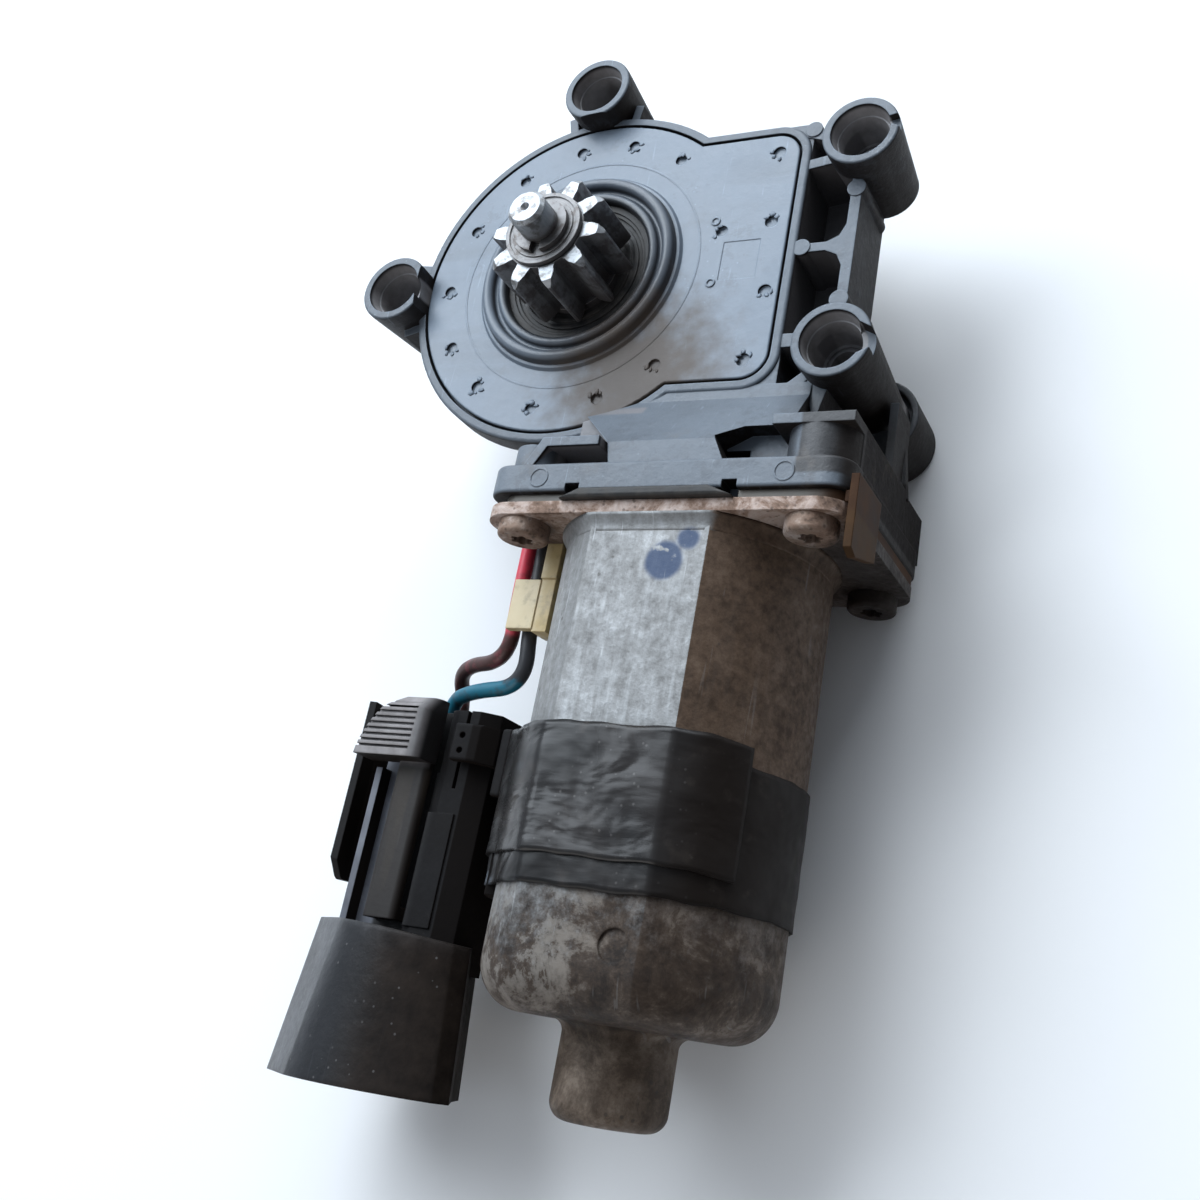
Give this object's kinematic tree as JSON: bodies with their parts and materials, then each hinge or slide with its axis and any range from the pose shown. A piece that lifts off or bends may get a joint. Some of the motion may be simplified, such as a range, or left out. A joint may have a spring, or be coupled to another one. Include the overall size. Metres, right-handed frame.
{
  "type": "window lift gear motor",
  "caption": "Window-lift gear motor: brush motor in a zinc can, worm gear in a black housing with a steel pinion, tall bosses, taped-on plug.",
  "frame": {"origin": "output axis, in the cover plate's outer face", "axes": "+Z out along the output pinion, -Y along the motor from the gearbox to the bearing nose, +X from the output axis toward the motor axis"},
  "size_m": [0.1015, 0.1773, 0.0521],
  "materials": {
    "housing_plastic": "glass-filled black moulding, dusty and scuffed",
    "cover_plastic": "black moulded plate, satin, dusty, staked",
    "rubber": "greasy black seal rubber",
    "bright_steel": "bare machined steel, greasy in the roots",
    "rusty_steel": "steel with brown surface rust",
    "screw_steel": "zinc-plated screw steel, stained brown",
    "zinc_steel": "zinc-plated drawn steel, stained and scuffed",
    "lamination_steel": "laminated sheet steel",
    "ferrite": "sintered ferrite, matt",
    "copper": "enamelled copper wire and copper bars",
    "brass": "stamped brass",
    "bronze": "sintered bronze",
    "carbon": "pressed carbon",
    "cream_plastic": "yellowed cream nylon",
    "gear_nylon": "natural acetal",
    "wire_red": "red wire insulation, dirty brown toward the plug",
    "wire_blue": "blue wire insulation, blackened at the motor end",
    "connector_plastic": "black plug moulding, dusty",
    "sleeve_plastic": "black plug shroud, satin",
    "latch_plastic": "dark grey ribbed latch, brown dust",
    "tape": "black PVC tape, creased and shiny"
  },
  "bodies": {
    "housing": {"gear_housing": "housing_plastic", "cover_plate": "cover_plastic", "hub_seal": "rubber", "cover_gasket": "rubber", "output_axle": "bright_steel", "axle_clip": "bright_steel", "top_washer": "bright_steel", "floor_washer": "bright_steel", "end_bearing": "bronze", "thrust_pad": "bright_steel", "mid_bearing": "bronze", "bearing_clip": "bright_steel", "nose_bearing": "bronze", "flange_gasket": "rubber", "flange_plate": "rusty_steel", "pole_can": "zinc_steel", "flange_screws": "screw_steel", "magnet_left": "ferrite", "magnet_right": "ferrite", "magnet_clips": "bright_steel", "brush_holder": "cream_plastic", "brush_boxes": "brass", "brushes": "carbon", "brush_springs": "bright_steel", "chokes": "ferrite", "thermal_breaker": "brass", "terminals": "brass", "wire_clip": "cream_plastic", "wire_red": "wire_red", "wire_blue": "wire_blue", "wire_seals": "rubber", "connector_body": "connector_plastic", "connector_sleeve": "sleeve_plastic", "connector_pins": "brass", "connector_bracket": "connector_plastic", "tape_inner": "tape", "tape_outer": "tape"},
    "armature": {"armature_shaft": "bright_steel", "worm": "bright_steel", "armature_core": "lamination_steel", "windings": "copper", "commutator": "copper", "shaft_washers": "bright_steel"},
    "output": {"pinion": "bright_steel", "output_driver": "bright_steel", "rubber_damper": "rubber", "worm_wheel": "gear_nylon"},
    "latch": {"connector_latch": "latch_plastic"}
  },
  "joints": [
    {"name": "armature_spin", "type": "hinge", "parent": "housing", "child": "armature", "pos_m": [0.028, 0, -0.0096], "axis": [0, 1, 0], "continuous": true},
    {"name": "output_spin", "type": "hinge", "parent": "housing", "child": "output", "pos_m": [0, 0, 0], "axis": [0, 0, 1], "continuous": true},
    {"name": "latch_press", "type": "hinge", "parent": "housing", "child": "latch", "pos_m": [-0.0154, -0.1088, -0.0095], "axis": [-1, 0, 0], "range_deg": [0, 2.6], "stiffness_Nm_per_rad": 1}
  ],
  "couplings": [
    {"joint": "output_spin", "follows": "armature_spin", "ratio": -0.016667}
  ]
}
